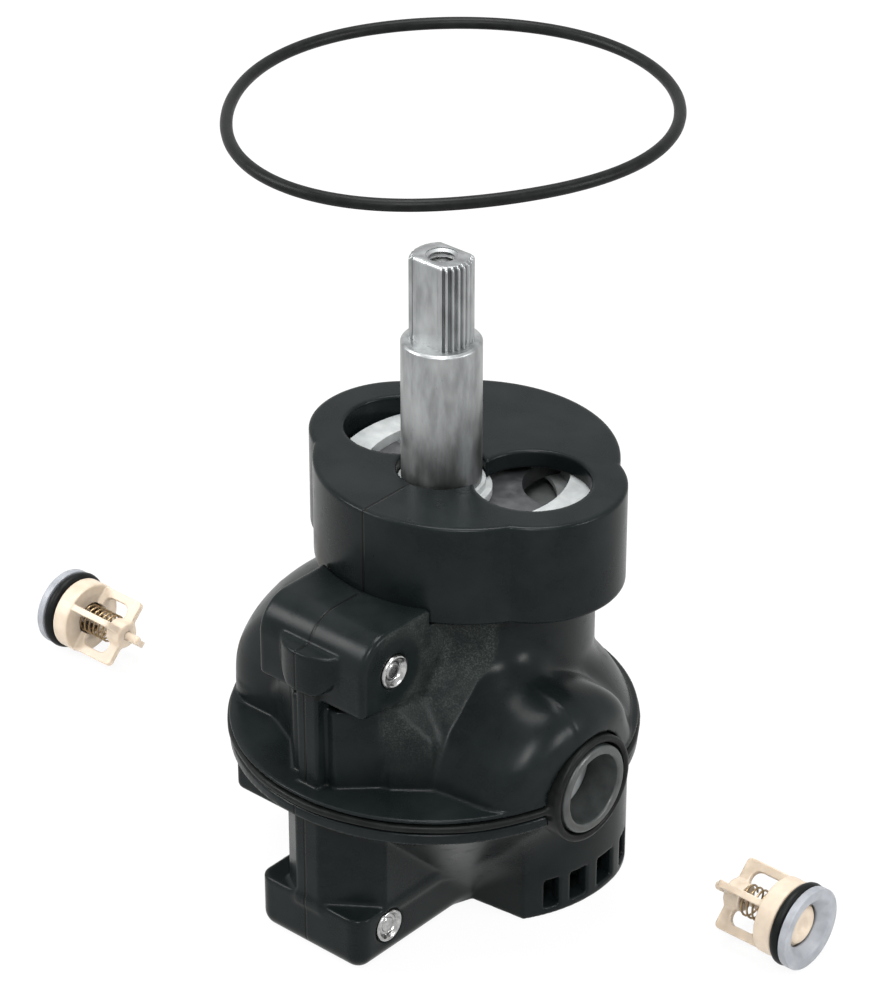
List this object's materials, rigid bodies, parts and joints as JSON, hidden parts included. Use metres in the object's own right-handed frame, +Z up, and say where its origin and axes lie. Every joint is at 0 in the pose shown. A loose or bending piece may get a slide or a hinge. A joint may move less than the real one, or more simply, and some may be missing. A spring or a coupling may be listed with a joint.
{
  "type": "pressure balance cartridge",
  "caption": "Shower valve cartridge with a splined stem, a lobed outlet cap, round two-part housing with side inlet ports and a balance spool, with its check valves and housing ring.",
  "frame": {"origin": "centre of the stem's axis on the flat base face that the cartridge stands on", "axes": "+Z up along the stem, +X out of the right-hand port, -Y towards the two pinned blocks"},
  "size_m": [0.1288, 0.0575, 0.1107],
  "materials": {
    "black_plastic": "moulded glass-filled plastic, satin gloss",
    "zinc": "die-cast zinc alloy, satin",
    "steel": "bright stainless steel",
    "brass_spool": "turned brass",
    "rubber": "moulded nitrile rubber",
    "liner_plastic": "moulded black plastic",
    "white_plastic": "white acetal",
    "pale_ceramic": "lapped alumina ceramic",
    "grey_ceramic": "dark lapped ceramic",
    "valve_grey": "moulded pale grey plastic",
    "valve_cream": "moulded cream acetal",
    "bronze_wire": "spring bronze wire"
  },
  "bodies": {
    "root": {"upper_shell": "black_plastic", "lower_shell": "black_plastic", "body_seal": "rubber", "cap": "black_plastic", "upper_pin": "steel", "lower_pin": "steel", "port_liner_right": "liner_plastic", "port_liner_left": "liner_plastic", "sleeve_end_right": "white_plastic", "sleeve_end_left": "white_plastic", "balance_sleeve": "steel", "sleeve_orings": "rubber", "disc_housing": "white_plastic", "outlet_plate": "grey_ceramic", "fixed_disc": "pale_ceramic", "disc_gasket": "rubber", "stem_collar": "white_plastic", "housing_oring": "rubber", "left_valve_seat": "valve_grey", "left_valve_oring": "rubber", "left_valve_cage": "valve_cream", "left_valve_spring": "bronze_wire", "right_valve_seat": "valve_grey", "right_valve_oring": "rubber", "right_valve_cage": "valve_cream", "right_valve_spring": "bronze_wire"},
    "stem": {"stem": "zinc", "stem_clip": "steel", "stem_oring": "rubber", "turning_disc": "grey_ceramic"},
    "spool": {"balance_spool": "brass_spool"},
    "left_poppet": {"left_valve_poppet": "valve_cream"},
    "right_poppet": {"right_valve_poppet": "valve_cream"}
  },
  "joints": [
    {"name": "stem_turn", "type": "hinge", "parent": "root", "child": "stem", "pos_m": [0, 0, 0.0606], "axis": [0, 0, 1], "range_deg": [0, 270]},
    {"name": "spool_slide", "type": "slide", "parent": "root", "child": "spool", "axis": [1, 0, 0], "range_m": [-0.002, 0.002]},
    {"name": "left_poppet_slide", "type": "slide", "parent": "root", "child": "left_poppet", "axis": [1, 0, 0], "range_m": [0, 0.002], "stiffness_N_per_m": 60, "springref_m": -0.002, "deforming": ["left_valve_spring"]},
    {"name": "right_poppet_slide", "type": "slide", "parent": "root", "child": "right_poppet", "axis": [-1, 0, 0], "range_m": [0, 0.002], "stiffness_N_per_m": 60, "springref_m": -0.002, "deforming": ["right_valve_spring"]}
  ]
}
